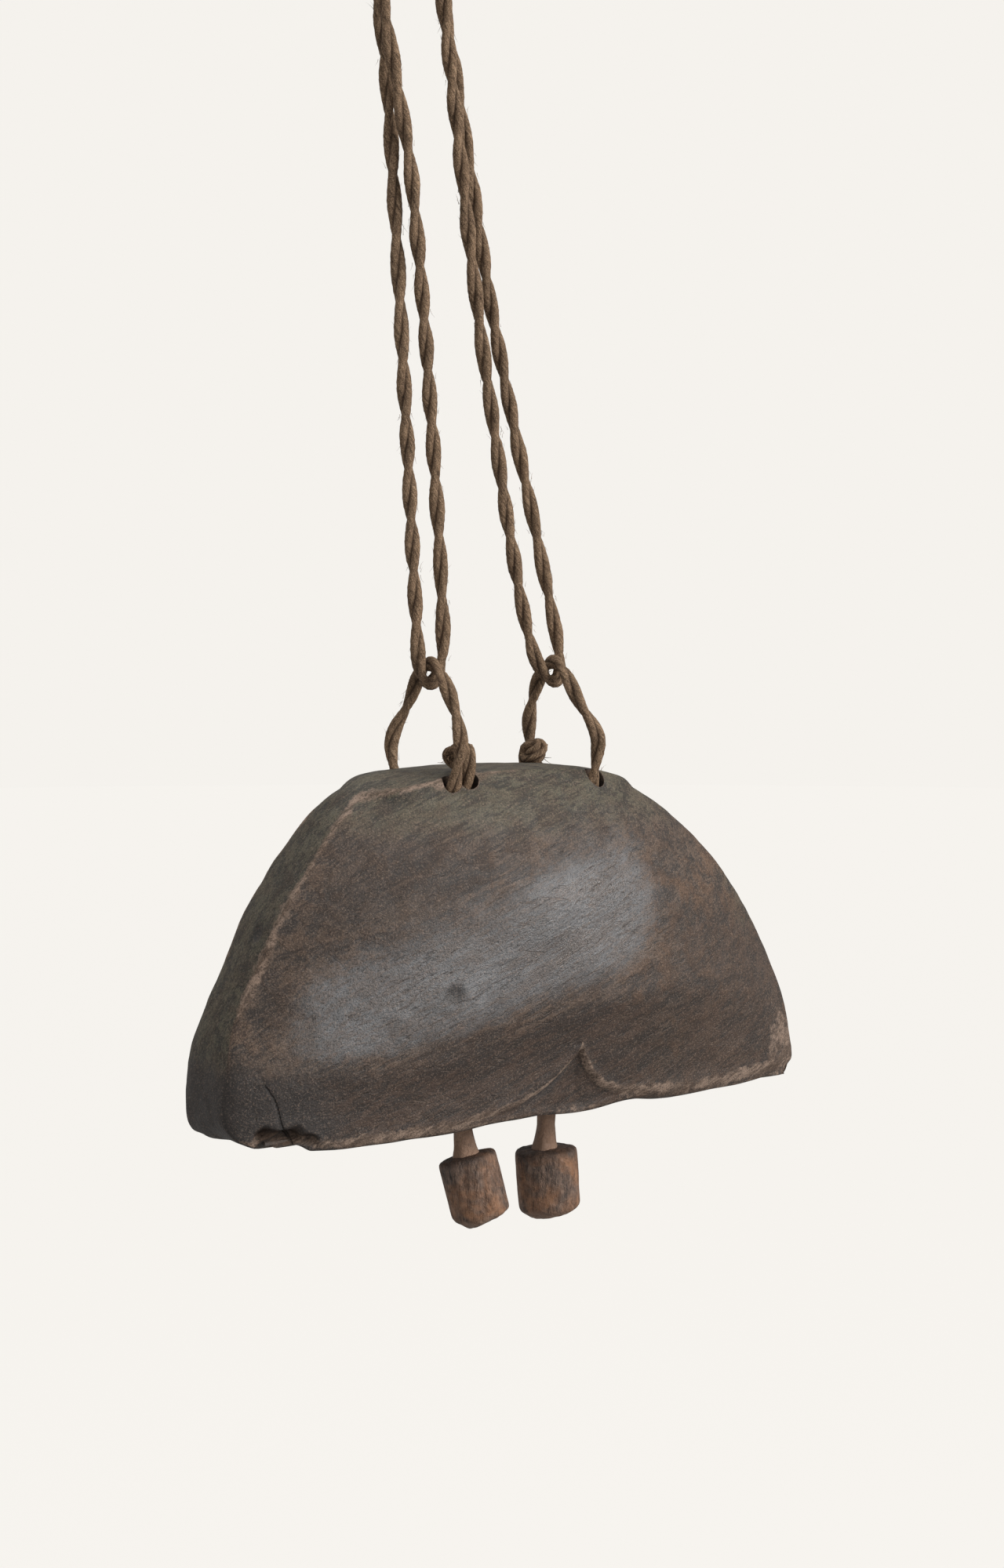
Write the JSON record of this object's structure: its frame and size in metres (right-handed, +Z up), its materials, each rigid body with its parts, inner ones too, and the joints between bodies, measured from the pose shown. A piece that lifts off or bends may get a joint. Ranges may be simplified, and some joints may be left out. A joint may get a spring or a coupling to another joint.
{
  "type": "wooden animal bell",
  "caption": "Hand-carved half-moon wooden herd bell, hollow and open below, with wooden clappers on cord ties, hung by laid cord bridles and a long neck rope.",
  "frame": {"origin": "where the neck rope's bight bears on the peg that it hangs from", "axes": "+Z up; +X along the bell's long side; the front face, with the carved lip, faces -Y"},
  "size_m": [0.2678, 0.086, 0.5056],
  "materials": {
    "bell_wood": "hand-carved hardwood, darkened and polished by handling, greenish and dry on top, satin",
    "clapper_wood": "whittled branch wood with bark-dark skin and worn orange-brown patches, matt",
    "cord": "hand-laid two-strand plant fibre cord, brown-grey, dry and hairy"
  },
  "bodies": {
    "bell": {"bell_body": "bell_wood", "bridle_left": "cord", "bridle_right": "cord", "bridle_left_knot": "cord", "bridle_right_knot": "cord", "bridle_left_inner_knot": "cord", "bridle_right_inner_knot": "cord", "neck_rope": "cord", "neck_rope_knot": "cord"},
    "left_tie": {"clapper_left_tie": "cord", "clapper_left_tie_knot": "cord"},
    "left_clapper": {"clapper_left": "clapper_wood"},
    "right_tie": {"clapper_right_tie": "cord", "clapper_right_tie_knot": "cord"},
    "right_clapper": {"clapper_right": "clapper_wood"}
  },
  "joints": [
    {"name": "left_side_swing", "type": "hinge", "parent": "bell", "child": "left_tie", "pos_m": [0.0127, 0, -0.3505], "axis": [-0.2132, 0.977, 0], "range_deg": [-4, 12]},
    {"name": "left_front_back_swing", "type": "hinge", "parent": "left_tie", "child": "left_clapper", "pos_m": [0.01371, 0.00022, -0.37698], "axis": [0.9763, 0.213, 0.0389], "range_deg": [-5, 16]},
    {"name": "right_side_swing", "type": "hinge", "parent": "bell", "child": "right_tie", "pos_m": [0.0727, 0, -0.3505], "axis": [-0.1615, 0.9869, 0], "range_deg": [-13, 4]},
    {"name": "right_front_back_swing", "type": "hinge", "parent": "right_tie", "child": "right_clapper", "pos_m": [0.07178, -0.00015, -0.37698], "axis": [0.9863, 0.1614, -0.0351], "range_deg": [-16, 8]}
  ]
}
